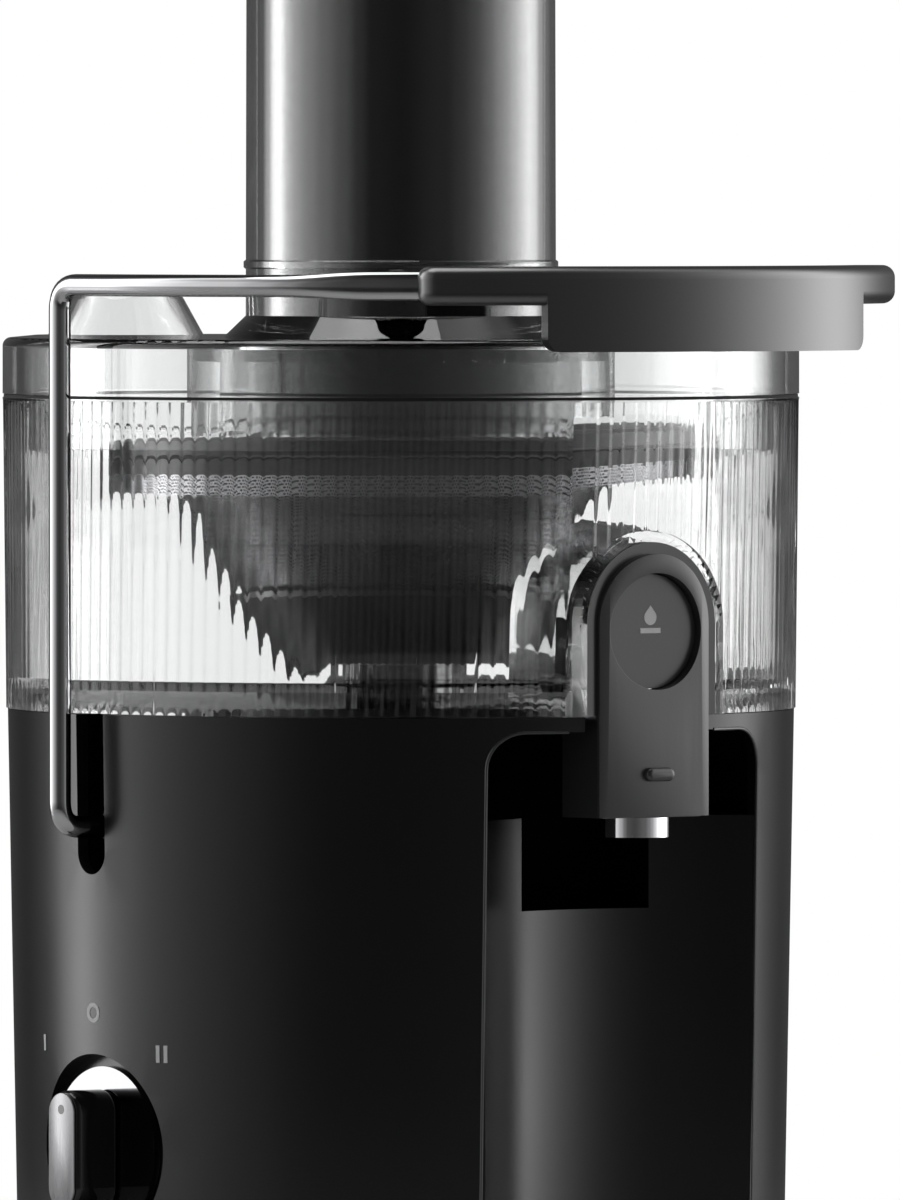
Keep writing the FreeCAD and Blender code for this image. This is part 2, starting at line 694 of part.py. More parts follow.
def make_lid():
    """A plate with a turned-down edge, two circular ribs, a skirt inside the bowl and a dome at the rear."""
    low = "lid_top - lid_wall"
    plate = tear_block("lid_low", "lid_top", "bowl_head_radius", "bowl_head_radius")
    room = tear_block("lid_low - 1", low, "bowl_head_radius", "bowl_head_radius", size("bowl_wall"))
    top = size("lid_top") - 0.01
    shell = rounded(cut(plate, room), 2.3, lambda e: e.BoundBox.ZMin > top and e.Length > 60)
    ribs = [ring(f"{radius} + 0.8", f"{radius} - 0.8", (265, "lid_top - 2")) for radius in (49, 58)]
    skirt = ring("bowl_head_radius - 3.8", "bowl_head_radius - 5.6", ("lid_skirt_low", "lid_top - 2"))
    pulp_way = box((-30, 30), (70, 120), (250, low))
    centre = (0, "hump_centre")
    hump = cone("hump_radius", "hump_radius - hump_slope", ("lid_top - 0.5", "lid_top + hump_height"), centre)
    peak = top + size("hump_height")
    dome = rounded(hump, 8, lambda e: e.BoundBox.ZMin > peak - 0.1)
    hollow = cone(
        "hump_radius - 2", "hump_radius - hump_slope - 3.5",
        ("lid_top - 3", "lid_top + hump_height - lid_wall"), centre,
    )
    chute_hole = cylinder("chute_radius + 0.02", (220, "overall_height"))
    keep(cut(fuse(shell, *ribs, cut(skirt, pulp_way), dome), chute_hole, hollow), "lid")


def make_feed_chute():
    """The tube that goes through the lid, with a flared foot that it is seated by."""
    tube = cone("chute_radius", "chute_radius - 0.4", ("chute_low", "chute_top"))
    foot = cone("chute_radius + 6", "chute_radius - 0.2", ("lid_top", "lid_top + 6"))
    bore = cylinder("chute_bore", (220, "overall_height"))
    keep(cut(fuse(tube, foot), bore), "feed_chute")


def make_pusher():
    turned("pusher_tube", [
        (0, "pusher_low"), ("pusher_radius - 1.5", "pusher_low"), ("pusher_radius", "pusher_low + 1.5"),
        ("pusher_radius", "chute_top + 1"), ("pusher_radius - pusher_wall", "chute_top + 1"),
        ("pusher_radius - pusher_wall", "pusher_low + 3"), (0, "pusher_low + 3"),
    ])
    turned("pusher_cap", [
        (0, "chute_top + 1"), ("pusher_radius", "chute_top + 1"), ("pusher_radius", "chute_top + 0.3"),
        ("cap_radius", "chute_top + 0.3"), ("cap_radius", "overall_height - 2"),
        ("cap_radius - 2", "overall_height"), (0, "overall_height"),
    ])


# ---- bail ----

def rod_route(side):
    """Corners of the rod's middle line, from the pivot up the leg and forward to the handle."""
    reach = size("leg_reach")
    low = size("pivot_height")
    high = size("rod_height") - 0.8
    middle = (size("handle_outer") + size("handle_inner")) / 2
    tip = math.radians(32)
    return [
        Vector(side * (size("bush_inner") + 1), 0, low),
        Vector(side * reach, 0, low),
        Vector(side * reach, 0, high),
        Vector(side * (reach - 2), -42, high),
        Vector(side * (reach - 14), -80, high),
        Vector(side * (reach - 31), -103, high),
        Vector(side * middle * math.sin(tip), -size("handle_centre") - middle * math.cos(tip), high),
    ]


def pipe_shape(corners, radius, bend):
    """A round rod along straight runs joined by tangent arcs."""
    edges = []
    start = corners[0]
    for here, corner, after in zip(corners, corners[1:], corners[2:]):
        arrive = (corner - here).normalize()
        leave = (after - corner).normalize()
        half_turn = arrive.getAngle(leave) / 2
        room = min((corner - here).Length, (after - corner).Length) * 0.45
        arc_radius = min(bend if half_turn > 0.5 else 1000, room / math.tan(half_turn))
        setback = arc_radius * math.tan(half_turn)
        first = corner - arrive * setback
        last = corner + leave * setback
        bisector = (leave - arrive).normalize()
        middle = corner + bisector * (arc_radius / math.cos(half_turn) - arc_radius)
        edges.append(Part.LineSegment(start, first).toShape())
        edges.append(Part.Arc(first, middle, last).toShape())
        start = last
    edges.append(Part.LineSegment(start, corners[-1]).toShape())
    direction = corners[1] - corners[0]
    section = Part.Wire(Part.Circle(corners[0], direction, radius).toShape())
    return Part.Wire(edges).makePipeShell([section], True, False, 2)


def make_bail():
    for label, side in (("left", -1), ("right", 1)):
        rod = doc.addObject("Part::Feature", "Rod")
        rod.Shape = pipe_shape(rod_route(side), size("rod_radius"), size("rod_bend"))
        rod.Placement = FreeCAD.Placement()
        keep(rod, f"bail_rod_{label}")
        sign = str(side)
        span = side_span(sign, "bush_inner", "slot_floor + 2.4")
        bore = side_span(sign, "bush_inner - 5", "slot_floor + 9")
        bush = cylinder("bush_radius", span, (0, "pivot_height"), "X")
        hole = cylinder("rod_radius + running_gap", bore, (0, "pivot_height"), "X")
        keep(cut(bush, hole), f"pivot_bush_{label}")
    make_handle()


def handle_arc(outer, inner, angle, span):
    """A curved bar across the front, centred on -Y."""
    item = doc.addObject("Part::Cylinder", "Arc")
    bind(item, Radius=outer, Height=f"({span[1]}) - ({span[0]})", Angle=angle)
    turn = FreeCAD.Rotation(Vector(0, 0, 1), -90 - size(angle) / 2)
    item.Placement = FreeCAD.Placement(Vector(0, -size("handle_centre"), size(span[0])), turn)
    over = (f"{span[0]} - 1", f"{span[1]} + 1")
    return cut(item, cylinder(inner, over, (0, "-handle_centre")))


def make_handle():
    """A rounded curved bar with a deeper plate under its middle, bored for the rods' ends."""
    bar = handle_arc("handle_outer", "handle_inner", "handle_angle", ("handle_low", "handle_top"))
    arms = rounded(rounded(bar, 5.5, lambda e: e.BoundBox.ZLength > 9), 3.4, lambda e: e.BoundBox.ZLength < 1)
    plate = handle_arc("handle_outer", "skirt_inner", "grip_angle", ("grip_low", "handle_top - 4"))
    low = size("grip_low") + 0.1
    corners = rounded(plate, 4, lambda e: e.BoundBox.ZMax < low and e.Length < 10)
    sockets = []
    for side in (-1, 1):
        socket = doc.addObject("Part::Feature", "Socket")
        socket.Shape = pipe_shape(rod_route(side), size("rod_radius") + 0.01, size("rod_bend"))
        sockets.append(socket)
    keep(cut(fuse(arms, corners), *sockets), "bail_handle")


# ---- knob ----

def stadium(radius, span):
    """A bar standing out to the left, with round ends above and below."""
    ends = [cylinder(radius, span, (0, f"knob_height {sign} grip_span"), "X") for sign in ("-", "+")]
    middle = box(span, (f"-({radius})", radius), ("knob_height - grip_span", "knob_height + grip_span"))
    return fuse(middle, *ends)


def make_knob():
    hole = cylinder("stem_radius", (-110, -90), (0, "knob_height"), "X")
    disc = cylinder("dial_radius", ("-dial_face", "-knob_floor - 0.4"), (0, "knob_height"), "X")
    keep(cut(disc, hole), "knob_dial")
    keep(stadium("grip_end_radius", ("-grip_face", "-dial_face")), "knob_grip")
    keep(stadium("grip_end_radius - 0.6", ("-insert_face", "-grip_face")), "knob_insert")
    keep(cylinder("stem_radius", ("-dial_face", -84), (0, "knob_height"), "X"), "knob_spindle")


# ---- pulp container ----

def container_block(inset, low, rear_top, front_top):
    """The tear's tail behind the housing and the narrower part that goes into its niche."""
    gap = size("seam_gap") + inset
    tail = common(
        tear_block(low, rear_top, "housing_foot_radius", "housing_head_radius", 0.3 + inset),
        box((-120, 120), (f"rear_split + {gap}", 160), (0, 220)),
    )
    nose = box(
        (f"-niche_half + {gap}", f"niche_half - {gap}"),
        (f"niche_front + {gap}", "rear_split + 5"),
        (low, front_top),
    )
    return fuse(tail, nose)


def make_pulp_container():
    outer = container_block(0, "base_top + 0.3", "deck_top - 0.6", "deck_low - 0.6")
    room = container_block(size("container_wall"), "base_top + 2.8", "deck_top + 1", "deck_low + 1")
    lip = box((-15, 15), ("rear_reach - 9", "rear_reach"), ("deck_top - 20", "deck_top - 17"))
    finger_room = box((-11, 11), ("rear_reach - 12", "rear_reach - 4"), (150, 180))
    keep(fuse(cut(outer, room), cut(lip, finger_room)), "pulp_container")


make_base_plate()
make_motor_housing()
make_top_deck()
make_rear_panel()
make_cord_inlet()
make_motor()
make_controls()
make_drive_coupling()
make_basket()
make_collector()
make_spout()
make_lid()
make_feed_chute()
make_pusher()
make_bail()
make_knob()
make_pulp_container()
doc.recompute()

for item in doc.Objects:
    if "Invalid" in item.State or "Error" in item.State:
        raise RuntimeError(f"{item.Name} ({item.Label}) failed: {item.State}")
for label, item in subparts.items():
    if item.Shape.isNull() or not item.Shape.isValid():
        raise RuntimeError(f"{label} has no valid shape")

os.makedirs("parts", exist_ok=True)
for label, item in subparts.items():
    item.Shape.exportStep(f"parts/{label}.step")
    print(label, len(item.Shape.Solids), round(item.Shape.Volume / 1000, 2))
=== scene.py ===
"""The looks of a centrifugal juicer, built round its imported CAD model.

Every length is in metres unless a name ends in _MM, in the CAD's own frame: z = 0 on the worktop,
the basket's axis is the Z axis and the spout faces -Y.
"""

import json
import math

import bmesh
import bpy
from mathutils import Matrix, Vector


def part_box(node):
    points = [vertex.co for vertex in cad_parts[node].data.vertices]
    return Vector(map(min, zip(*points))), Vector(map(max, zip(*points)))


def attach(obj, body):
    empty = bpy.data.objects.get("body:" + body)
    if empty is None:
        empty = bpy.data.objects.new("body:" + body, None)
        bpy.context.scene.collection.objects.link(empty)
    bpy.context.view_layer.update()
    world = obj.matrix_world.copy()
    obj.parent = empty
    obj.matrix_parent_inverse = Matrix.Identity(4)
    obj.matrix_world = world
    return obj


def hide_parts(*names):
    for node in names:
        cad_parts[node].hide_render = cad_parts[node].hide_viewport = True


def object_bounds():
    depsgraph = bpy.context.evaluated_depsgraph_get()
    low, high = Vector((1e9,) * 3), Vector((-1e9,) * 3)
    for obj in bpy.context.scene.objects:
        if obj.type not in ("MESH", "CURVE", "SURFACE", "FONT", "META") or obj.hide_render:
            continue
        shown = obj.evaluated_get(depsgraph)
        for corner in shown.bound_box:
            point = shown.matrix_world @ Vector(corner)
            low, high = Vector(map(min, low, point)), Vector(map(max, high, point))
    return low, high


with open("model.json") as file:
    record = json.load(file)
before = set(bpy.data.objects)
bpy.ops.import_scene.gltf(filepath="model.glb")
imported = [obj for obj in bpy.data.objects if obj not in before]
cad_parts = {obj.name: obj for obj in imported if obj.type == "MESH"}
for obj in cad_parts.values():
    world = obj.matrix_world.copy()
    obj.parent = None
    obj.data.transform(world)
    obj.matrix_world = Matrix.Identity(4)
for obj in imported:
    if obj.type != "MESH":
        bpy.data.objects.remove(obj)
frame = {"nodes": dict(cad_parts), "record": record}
NODES = frame["nodes"]
BOUNDS_AT_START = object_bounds()
HIGHEST = Vector(BOUNDS_AT_START[1])
WELD = 2e-6
scene = bpy.context.scene

# ---- camera: a long lens, a little above the spout's height, from the front left ----

CAMERA_DISTANCE = 5.5
CAMERA_AZIMUTH = math.radians(-38.5)
CAMERA_TILT = math.radians(1.2)
CAMERA_LENS_MM = 600
SENSOR_MM = 36
AIM_RIGHT = 0.0135
AIM_HEIGHT = 0.2147

TO_CAMERA = Vector((math.sin(CAMERA_AZIMUTH), -math.cos(CAMERA_AZIMUTH), 0))
TO_RIGHT = Vector((math.cos(CAMERA_AZIMUTH), math.sin(CAMERA_AZIMUTH), 0))


def make_camera():
    data = bpy.data.cameras.new("camera")
    data.lens = CAMERA_LENS_MM
    data.sensor_width = SENSOR_MM
    data.clip_end = 100
    camera = bpy.data.objects.new("camera", data)
    scene.collection.objects.link(camera)
    aim = TO_RIGHT * AIM_RIGHT + Vector((0, 0, AIM_HEIGHT))
    away = TO_CAMERA * math.cos(CAMERA_TILT) + Vector((0, 0, math.sin(CAMERA_TILT)))
    camera.location = aim + away * CAMERA_DISTANCE
    camera.rotation_euler = (-away).to_track_quat("-Z", "Y").to_euler()
    scene.camera = camera


make_camera()

# ---- sizes taken from the frame ----

BOWL_LOW, BOWL_HIGH = (Vector(c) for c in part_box("juice_collector"))
LID_HIGH = Vector(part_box("lid")[1])
HOUSING_LOW, HOUSING_HIGH = (Vector(c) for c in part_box("motor_housing"))
COVER_LOW = Vector(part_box("spout_cover")[0])
BUTTON_LOW, BUTTON_HIGH = (Vector(c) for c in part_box("drip_button"))
INSERT_LOW, INSERT_HIGH = (Vector(c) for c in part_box("knob_insert"))
DISC_LOW = Vector(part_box("grating_disc")[0])

HUMP_HEIGHT = 0.014
LID_PLATE_TOP = LID_HIGH.z - HUMP_HEIGHT
HOUSING_FOOT_RADIUS = 0.105
HOUSING_HEAD_RADIUS = 0.1081
BOWL_FOOT_RADIUS = 0.1086
BOWL_HEAD_RADIUS = 0.1095
REAR_RADIUS = 0.036
REAR_CENTRE = HIGHEST.y - REAR_RADIUS

# ---- mesh helpers ----


def finish_mesh(name, bm, material, body, smooth=35):
    """Turn a bmesh into a piece that rides on a body, shaded smooth except at sharp edges."""
    bmesh.ops.recalc_face_normals(bm, faces=bm.faces)
    mesh = bpy.data.meshes.new(name)
    bm.to_mesh(mesh)
    bm.free()
    for face in mesh.polygons:
        face.use_smooth = True
    mesh.set_sharp_from_angle(angle=math.radians(smooth))
    mesh.materials.append(material)
    piece = bpy.data.objects.new(name, mesh)
    scene.collection.objects.link(piece)
    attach(piece, body)
    return piece


def bridge_rings(bm, rings, closed=False):
    """Faces between rings of equally many vertices; closed joins the last ring to the first."""
    pairs = list(zip(rings, rings[1:]))
    if closed:
        pairs.append((rings[-1], rings[0]))
    for low, high in pairs:
        for n in range(len(low)):
            after = (n + 1) % len(low)
            bm.faces.new((low[n], low[after], high[after], high[n]))


def add_lathe(bm, profile, centre=(0, 0, 0), axis=Vector((0, 0, 1)), segments=96):
    """A solid turned from a closed loop of (radius, height) points round an axis."""
    turn = Vector((0, 0, 1)).rotation_difference(axis).to_matrix()
    base = Vector(centre)
    rings = []
    for radius, height in profile:
        ring = []
        for n in range(segments):
            angle = 2 * math.pi * n / segments
            spot = Vector((radius * math.cos(angle), radius * math.sin(angle), height))
            ring.append(bm.verts.new(base + turn @ spot))
        rings.append(ring)
    bridge_rings(bm, rings, closed=True)


def add_plate(bm, outline, place, thickness):
    """A closed plate: outline is a ring of (u, v) points and place(u, v, lift) puts a point in the frame."""
    front = [bm.verts.new(place(u, v, thickness)) for u, v in outline]
    back = [bm.verts.new(place(u, v, 0)) for u, v in outline]
    bridge_rings(bm, [back, front])
    bm.faces.new(front)
    bm.faces.new(back[::-1])


def add_band(bm, outer, inner, place, thickness):
    """A closed flat ring between two outlines of equally many points."""
    loops = [
        [bm.verts.new(place(u, v, lift)) for u, v in outline]
        for outline, lift in ((outer, 0), (outer, thickness), (inner, thickness), (inner, 0))
    ]
    bridge_rings(bm, loops, closed=True)


def circle(radius, count=48, centre=(0, 0)):
    steps = [2 * math.pi * n / count for n in range(count)]
    return [(centre[0] + radius * math.cos(a), centre[1] + radius * math.sin(a)) for a in steps]


def stadium(half_length, radius, count=16, centre=(0, 0)):
    """A level pill: two half circles joined by straight sides."""
    points = []
    for side, start in ((1, -90), (-1, 90)):
        for n in range(count + 1):
            angle = math.radians(start + 180 * n / count)
            points.append((
                centre[0] + side * half_length + radius * math.cos(angle),
                centre[1] + radius * math.sin(angle),
            ))
    return points


def clean_copy(node):
    """The CAD node's mesh with its seams joined."""
    bm = bmesh.new()
    bm.from_mesh(NODES[node].data)
    bmesh.ops.remove_doubles(bm, verts=bm.verts, dist=WELD)
    return bm


def softened(node, width, material, body, segments=2, angle=40):
    """A copy of a CAD node with small rounds on its sharp edges, shown in the node's place."""
    bm = clean_copy(node)
    bmesh.ops.dissolve_limit(bm, angle_limit=math.radians(0.5), verts=bm.verts, edges=bm.edges)
    sharp = [
        e for e in bm.edges
        if len(e.link_faces) == 2 and e.calc_face_angle() > math.radians(angle)
    ]
    bmesh.ops.bevel(
        bm, geom=sharp, offset=width, offset_type="OFFSET", segments=segments, profile=0.5,
        affect="EDGES", clamp_overlap=True,
    )
    piece = finish_mesh(node + "_soft", bm, material, body, smooth=30)
    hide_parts(node)
    return piece


# ---- material helpers ----

def add(tree, kind, **values):
    """A shader node; values are set on its inputs, or on its own properties where it has no such input."""
    node = tree.nodes.new(kind)
    for name, value in values.items():
        if name in node.inputs:
            node.inputs[name].default_value = value
        elif hasattr(node, name):
            setattr(node, name, value)
        else:
            node.inputs[name.replace("_", " ")].default_value = value
    return node


def join(tree, out, into):
    tree.links.new(out, into)


def math_node(tree, operation, first, second=None):
    """A Math node fed by sockets or plain numbers; returns its output socket."""
    node = tree.nodes.new("ShaderNodeMath")
    node.operation = operation
    for place, value in enumerate((first, second)):
        if value is None:
            continue
        if isinstance(value, (int, float)):
            node.inputs[place].default_value = value
        else:
            tree.links.new(value, node.inputs[place])
    return node.outputs[0]


def new_material(name, colour, roughness, metallic=0.0):
    """A Principled material, its node tree, its shader and an object-space position."""
    material = bpy.data.materials.new(name)
    material.use_nodes = True
    tree = material.node_tree
    shader = tree.nodes["Principled BSDF"]
    shader.inputs["Base Color"].default_value = (*colour, 1)
    shader.inputs["Roughness"].default_value = roughness
    shader.inputs["Metallic"].default_value = metallic
    position = add(tree, "ShaderNodeTexCoord").outputs["Object"]
    return material, tree, shader, position


def noise(tree, position, scale, detail=2.0, stretch=None):
    """Noise in object space; stretch scales the three axes apart."""
    if stretch:
        mapping = add(tree, "ShaderNodeMapping")
        mapping.inputs["Scale"].default_value = stretch
        join(tree, position, mapping.inputs["Vector"])
        position = mapping.outputs["Vector"]
    node = add(tree, "ShaderNodeTexNoise", Scale=scale, Detail=detail)
    join(tree, position, node.inputs["Vector"])
    return node.outputs["Fac"]


def spread(tree, value, low, high):
    """Map the middle of a noise value to a range."""
    node = add(tree, "ShaderNodeMapRange")
    node.inputs["From Min"].default_value = 0.3
    node.inputs["From Max"].default_value = 0.7
    node.inputs["To Min"].default_value = low
    node.inputs["To Max"].default_value = high
    join(tree, value, node.inputs["Value"])
    return node.outputs["Result"]


def bump(tree, shader, height, distance, strength=1.0):
    node = add(tree, "ShaderNodeBump", Strength=strength, Distance=distance)
    join(tree, height, node.inputs["Height"])
    join(tree, node.outputs["Normal"], shader.inputs["Normal"])


def plastic(name, colour, roughness, uneven=0.03, grain=900, depth=0.00002, specular=0.5, coat=0.0):
    """Moulded plastic: slow changes in gloss over a fine grain."""
    material, tree, shader, position = new_material(name, colour, roughness)
    shader.inputs["Specular IOR Level"].default_value = specular
    shader.inputs["Coat Weight"].default_value = coat
    shader.inputs["Coat Roughness"].default_value = roughness
    slow = noise(tree, position, 14, 3.0)
    join(tree, spread(tree, slow, roughness - uneven, roughness + uneven), shader.inputs["Roughness"])
    if depth:
        bump(tree, shader, noise(tree, position, grain, 2.0), depth)
    return material


def metal(name, colour, roughness, uneven=0.04, stretch=(1, 1, 1), scale=300, depth=0.000004):
    """Metal with a grain that stretch can draw out along an axis."""
    material, tree, shader, position = new_material(name, colour, roughness, metallic=1.0)
    grain = noise(tree, position, scale, 3.0, stretch)
    join(tree, spread(tree, grain, roughness - uneven, roughness + uneven), shader.inputs["Roughness"])
    bump(tree, shader, grain, depth)
    return material


def clear(name, colour, roughness, ior=1.49, coat=0.0):
    """Clear moulded plastic with faint flow marks; a coat keeps its shine where it bends light less."""
    material, tree, shader, position = new_material(name, colour, roughness)
    shader.inputs["Transmission Weight"].default_value = 1.0
    shader.inputs["IOR"].default_value = ior
    shader.inputs["Coat Weight"].default_value = coat
    shader.inputs["Coat Roughness"].default_value = roughness
    flow = noise(tree, position, 9, 2.0)
    join(tree, spread(tree, flow, roughness * 0.5, roughness * 1.5), shader.inputs["Roughness"])
    bump(tree, shader, noise(tree, position, 22, 1.0), 0.00005)
    return material


def banded(name, colour, dark, roughness, metallic, pitch, axis="Z", depth=0.0001):
    """Close parallel bands across an axis, for laminations and windings."""
    material, tree, shader, position = new_material(name, colour, roughness, metallic)
    parts = add(tree, "ShaderNodeSeparateXYZ")
    join(tree, position, parts.inputs[0])
    phase = math_node(tree, "MULTIPLY", parts.outputs[axis], 2 * math.pi / pitch)
    wave = math_node(tree, "SINE", phase)
    height = math_node(tree, "MULTIPLY_ADD", wave, 0.5)
    height.node.inputs[2].default_value = 0.5
    mix = add(tree, "ShaderNodeMix", data_type="RGBA")
    mix.inputs[6].default_value = (*dark, 1)
    mix.inputs[7].default_value = (*colour, 1)
    join(tree, height, mix.inputs[0])
    join(tree, mix.outputs[2], shader.inputs["Base Color"])
    bump(tree, shader, height, depth)
    return material


def perforated(name, colour, roughness, around, pitch, hole=0.32, flat=False):
    """Steel sheet with staggered rows of fine holes round the Z axis, or in straight rows if flat."""
    material, tree, shader, position = new_material(name, colour, roughness, metallic=1.0)
    parts = add(tree, "ShaderNodeSeparateXYZ")
    join(tree, position, parts.inputs[0])
    x, y, z = parts.outputs
    if flat:
        across = math_node(tree, "MULTIPLY", x, 1 / pitch)
        row = math_node(tree, "MULTIPLY", y, 1 / pitch)
    else:
        across = math_node(tree, "MULTIPLY", math_node(tree, "ARCTAN2", y, x), around / (2 * math.pi))
        row = math_node(tree, "MULTIPLY", z, 1 / pitch)
    stagger = math_node(tree, "MULTIPLY", math_node(tree, "FLOOR", row), 0.5)
    du = math_node(tree, "SUBTRACT", math_node(tree, "FRACT", math_node(tree, "ADD", across, stagger)), 0.5)
    dv = math_node(tree, "SUBTRACT", math_node(tree, "FRACT", row), 0.5)
    squared = math_node(tree, "ADD", math_node(tree, "MULTIPLY", du, du), math_node(tree, "MULTIPLY", dv, dv))
    solid = math_node(tree, "GREATER_THAN", squared, hole * hole)
    mix = add(tree, "ShaderNodeMix", data_type="RGBA")
    mix.inputs[6].default_value = (0.02, 0.02, 0.02, 1)
    mix.inputs[7].default_value = (*colour, 1)
    join(tree, solid, mix.inputs[0])
    join(tree, mix.outputs[2], shader.inputs["Base Color"])
    join(tree, solid, shader.inputs["Metallic"])
    bump(tree, shader, solid, 0.0001, 0.6)
    return material


def between(tree, value, low, high):
    """1 where the value lies between two limits, else 0."""
    above = math_node(tree, "GREATER_THAN", value, low)
    return math_node(tree, "MULTIPLY", above, math_node(tree, "LESS_THAN", value, high))


POCKET_HEIGHTS = (0.1572, 0.1815)
POCKET_FRONT = -0.05
NOTCH_HALF = 0.0222
NOTCH_HEIGHTS = (0.1318, 0.158)
SIDE_SLOT_HALF = 0.0062
SIDE_SLOT_LOW = 0.14


def housing_material(name, colour, roughness, specular):
    """Satin black outside; in the pocket behind the spout, its notch and the side slots the shine is switched
    off, painted shade that makes these hollows read black.
    """
    material = plastic(name, colour, roughness, depth=0.000012, specular=specular)
    tree = material.node_tree
    shader = tree.nodes["Principled BSDF"]
    position = next(n for n in tree.nodes if n.type == "TEX_COORD").outputs["Object"]
    parts = add(tree, "ShaderNodeSeparateXYZ")
    join(tree, position, parts.inputs[0])
    x, y, z = parts.outputs
    radius = math_node(tree, "SQRT", math_node(
        tree, "ADD", math_node(tree, "MULTIPLY", x, x), math_node(tree, "MULTIPLY", y, y)
    ))
    inside = math_node(tree, "LESS_THAN", radius, HOUSING_FOOT_RADIUS - 0.001)
    in_front = math_node(tree, "LESS_THAN", y, POCKET_FRONT)
    pocket = math_node(tree, "MULTIPLY", between(tree, z, *POCKET_HEIGHTS), in_front)
    notch_width = between(tree, x, -NOTCH_HALF, NOTCH_HALF)
    notch = math_node(tree, "MULTIPLY", notch_width, between(tree, z, *NOTCH_HEIGHTS))
    above_slot_foot = math_node(tree, "GREATER_THAN", z, SIDE_SLOT_LOW)
    slots = math_node(tree, "MULTIPLY", between(tree, y, -SIDE_SLOT_HALF, SIDE_SLOT_HALF), above_slot_foot)
    hidden = math_node(tree, "MAXIMUM", math_node(tree, "MAXIMUM", pocket, notch), slots)
    # painted shade: no specular in the pocket, notch and side slots, so they look black as if in shadow
    painted_shade = math_node(tree, "MULTIPLY", inside, hidden)
    level = math_node(tree, "MULTIPLY", math_node(tree, "SUBTRACT", 1.0, painted_shade), specular)
    join(tree, level, shader.inputs["Specular IOR Level"])
    return material


# ---- materials ----

BLACK = (0.003, 0.003, 0.0032)
MATERIALS = {
    "housing_plastic": housing_material("housing_plastic", BLACK, 0.24, 0.4),
    "container_plastic": plastic("container_plastic", BLACK, 0.24, depth=0.000012, specular=0.4),
    "base_plastic": plastic("base_plastic", (0.005, 0.005, 0.0053), 0.5),
    "handle_plastic": plastic(
        "handle_plastic", (0.004, 0.004, 0.0044), 0.3, depth=0.000012, specular=1.0, coat=1.0
    ),
    "basket_plastic": plastic("basket_plastic", (0.004, 0.004, 0.0042), 0.3, depth=0.000005),
    "pusher_gloss": plastic("pusher_gloss", (0.002, 0.002, 0.0022), 0.09, uneven=0.02, depth=0),
    "knob_plastic": plastic("knob_plastic", (0.003, 0.003, 0.003), 0.12, uneven=0.02, depth=0),
    "spout_plastic": plastic("spout_plastic", (0.012, 0.012, 0.0125), 0.3, depth=0.000012, specular=0.9),
    "fan_plastic": plastic("fan_plastic", (0.1, 0.1, 0.1), 0.5),
    "coupling_plastic": plastic("coupling_plastic", (0.05, 0.05, 0.05), 0.45),
    "bush_plastic": plastic("bush_plastic", (0.02, 0.02, 0.02), 0.25, depth=0),
    "soft_black": plastic("soft_black", (0.02, 0.02, 0.02), 0.7, grain=500, depth=0.00005, specular=0.3),
    "plain_steel": metal("plain_steel", (0.55, 0.55, 0.56), 0.3),
    "bright_steel": metal("bright_steel", (0.6, 0.6, 0.62), 0.18, stretch=(1, 1, 0.05)),
    "bracket_alloy": metal("bracket_alloy", (0.6, 0.6, 0.62), 0.42, scale=700, depth=0.00003),
    "copper": banded("copper", (0.72, 0.4, 0.25), (0.2, 0.1, 0.06), 0.25, 1.0, 0.004),
    "brush_brass": metal("brush_brass", (0.7, 0.5, 0.2), 0.3),
    "core_steel": banded("core_steel", (0.28, 0.28, 0.3), (0.12, 0.12, 0.13), 0.35, 1.0, 0.0015),
    "winding": banded("winding", (0.55, 0.2, 0.06), (0.16, 0.05, 0.02), 0.3, 0.6, 0.0012, depth=0.0003),
    "chrome_rod": metal("chrome_rod", (0.5, 0.5, 0.51), 0.08, uneven=0.02, depth=0.000001),
    "chrome_trim": metal("chrome_trim", (0.8, 0.8, 0.82), 0.08, uneven=0.02, depth=0.000001),
    "dial_chrome": metal("dial_chrome", (0.22, 0.22, 0.225), 0.05, uneven=0.02, depth=0.000001),
    "insert_silver": metal("insert_silver", (0.2, 0.2, 0.205), 0.3, stretch=(1, 20, 1)),
    "stainless": perforated("stainless", (0.3, 0.3, 0.31), 0.24, 400, 0.00095),
    "clear_bowl": clear("clear_bowl", (0.985, 0.988, 0.988), 0.06, ior=1.06, coat=0.8),
    "clear_lid": clear("clear_lid", (0.93, 0.935, 0.935), 0.015, ior=1.25, coat=1.0),
}


def board_material():
    """Green circuit board with pale tracks."""
    material, tree, shader, position = new_material("board", (0.03, 0.2, 0.08), 0.35)
    tracks = add(tree, "ShaderNodeTexVoronoi", Scale=260.0, feature="DISTANCE_TO_EDGE", distance="MANHATTAN")
    join(tree, position, tracks.inputs["Vector"])
    line = math_node(tree, "LESS_THAN", tracks.outputs["Distance"], 0.08)
    mix = add(tree, "ShaderNodeMix", data_type="RGBA")
    mix.inputs[6].default_value = (0.02, 0.16, 0.06, 1)
    mix.inputs[7].default_value = (0.1, 0.35, 0.16, 1)
    join(tree, line, mix.inputs[0])
    join(tree, mix.outputs[2], shader.inputs["Base Color"])
    bump(tree, shader, line, 0.00005)
    return material


MATERIALS["board"] = board_material()
PRINT_GREY = plastic("print_grey", (0.6, 0.6, 0.61), 0.5, depth=0.00001)
PRINT_WHITE = plastic("print_white", (0.95, 0.95, 0.95), 0.5, depth=0.00001)

for entry in frame["record"]["subparts"]:
    NODES[entry["node"]].material_slots[0].material = MATERIALS[entry["material_slot"]]

disc_sheet = perforated("disc_sheet", (0.56, 0.56, 0.57), 0.26, 0, 0.0016, flat=True)
NODES["grating_disc"].material_slots[0].material = disc_sheet

# ---- the fluted bowl ----

FLUTE_COUNT = 175
FLUTE_DEPTH = 0.0006
FLUTE_STEPS = 8
WALL_TRIM = 0.0001
BOSS_HALF = 0.025
ARCH_HEIGHT = 0.210


